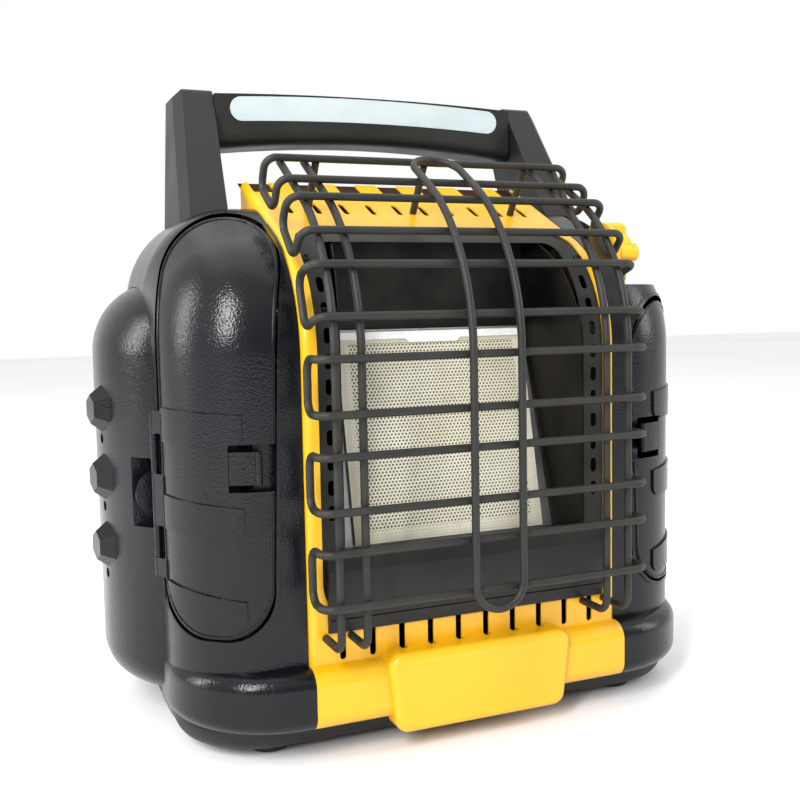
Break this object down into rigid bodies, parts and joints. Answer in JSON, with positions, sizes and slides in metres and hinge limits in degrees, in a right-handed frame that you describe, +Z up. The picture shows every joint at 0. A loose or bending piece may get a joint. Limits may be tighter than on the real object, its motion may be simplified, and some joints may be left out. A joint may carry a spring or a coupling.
{
  "type": "portable propane heater",
  "caption": "Portable radiant heater: tile burner behind a wire guard, cylinder bays with side doors, knob on the right and a carrying handle with a light bar.",
  "frame": {"origin": "on the ground under the centre of the heater", "axes": "+Z up, +X to the right seen from the front, the front with the guard faces -Y"},
  "size_m": [0.446, 0.305, 0.44],
  "materials": {
    "yellow_paint": "satin paint on sheet steel",
    "bezel_paint": "heat-proof matte paint",
    "fire_steel": "heat-darkened sheet steel",
    "tile_ceramic": "perforated unglazed tile",
    "bright_steel": "plain steel",
    "brass": "machined",
    "cast_metal": "die cast",
    "liner_steel": "black coated sheet steel",
    "black_plastic": "fine moulded texture",
    "handle_plastic": "fine moulded texture",
    "guard_coat": "matte powder coat",
    "knob_plastic": "satin",
    "rubber": "matte",
    "lens_plastic": "frosted",
    "circuit_board": "solder mask"
  },
  "bodies": {
    "heater": {"base_tray": "bezel_paint", "battery_cover": "black_plastic", "burner_bezel": "bezel_paint", "burner_frame": "bright_steel", "burner_gas_pipe": "bright_steel", "burner_plenum": "bright_steel", "burner_tile": "tile_ceramic", "firebox": "fire_steel", "front_panel": "yellow_paint", "gas_jet": "brass", "gas_valve": "brass", "guard_hairpin": "guard_coat", "guard_hoop_1": "guard_coat", "guard_hoop_2": "guard_coat", "guard_hoop_3": "guard_coat", "guard_hoop_4": "guard_coat", "guard_hoop_5": "guard_coat", "guard_hoop_6": "guard_coat", "guard_leg_1": "guard_coat", "guard_leg_2": "guard_coat", "guard_leg_3": "guard_coat", "guard_upright_1": "guard_coat", "guard_upright_2": "guard_coat", "guard_upright_3": "guard_coat", "guard_upright_4": "guard_coat", "handle_bar": "handle_plastic", "heat_shield": "fire_steel", "led_board": "circuit_board", "left_bay_liner": "liner_steel", "left_bay_plate": "liner_steel", "left_corner_bumper": "black_plastic", "left_gas_pipe": "bright_steel", "left_handle_arm": "handle_plastic", "left_hinge_pin": "bright_steel", "left_regulator": "cast_metal", "left_side_cover": "black_plastic", "light_lens": "lens_plastic", "lower_lip": "bezel_paint", "rear_cover": "black_plastic", "right_bay_liner": "liner_steel", "right_bay_plate": "liner_steel", "right_corner_bumper": "black_plastic", "right_gas_pipe": "bright_steel", "right_handle_arm": "handle_plastic", "right_hinge_pin": "bright_steel", "right_regulator": "cast_metal", "right_side_cover": "black_plastic", "rubber_foot_1": "rubber", "rubber_foot_2": "rubber", "rubber_foot_3": "rubber", "rubber_foot_4": "rubber", "venturi_tube": "bright_steel"},
    "left_door": {"left_door": "black_plastic"},
    "left_latch": {"left_latch": "black_plastic"},
    "right_door": {"right_door": "black_plastic"},
    "right_latch": {"right_latch": "black_plastic"},
    "valve_stem": {"valve_stem": "bright_steel"},
    "control_knob": {"control_knob": "knob_plastic"},
    "light_button": {"light_button": "rubber"}
  },
  "joints": [
    {"name": "left_door_hinge", "type": "hinge", "parent": "heater", "child": "left_door", "pos_m": [-0.19, -0.0436, 0.155], "axis": [0, 0, -1], "range_deg": [0, 95]},
    {"name": "right_door_hinge", "type": "hinge", "parent": "heater", "child": "right_door", "pos_m": [0.19, -0.0436, 0.155], "axis": [0, 0, 1], "range_deg": [0, 95]},
    {"name": "left_latch_flex", "type": "hinge", "parent": "left_door", "child": "left_latch", "pos_m": [-0.15565, -0.09769, 0.1845], "axis": [0, 0, 1], "range_deg": [0, 7], "stiffness_Nm_per_rad": 0.4},
    {"name": "right_latch_flex", "type": "hinge", "parent": "right_door", "child": "right_latch", "pos_m": [0.15565, -0.09769, 0.1845], "axis": [0, 0, -1], "range_deg": [0, 7], "stiffness_Nm_per_rad": 0.4},
    {"name": "valve_turn", "type": "hinge", "parent": "heater", "child": "valve_stem", "pos_m": [0.121, -0.0604, 0.315], "axis": [1, 0, 0], "range_deg": [0, 270]},
    {"name": "knob_push", "type": "slide", "parent": "valve_stem", "child": "control_knob", "axis": [-1, 0, 0], "range_m": [0, 0.003], "stiffness_N_per_m": 900},
    {"name": "light_button_push", "type": "slide", "parent": "heater", "child": "light_button", "axis": [0, -1, 0], "range_m": [0, 0.0012], "stiffness_N_per_m": 600}
  ]
}
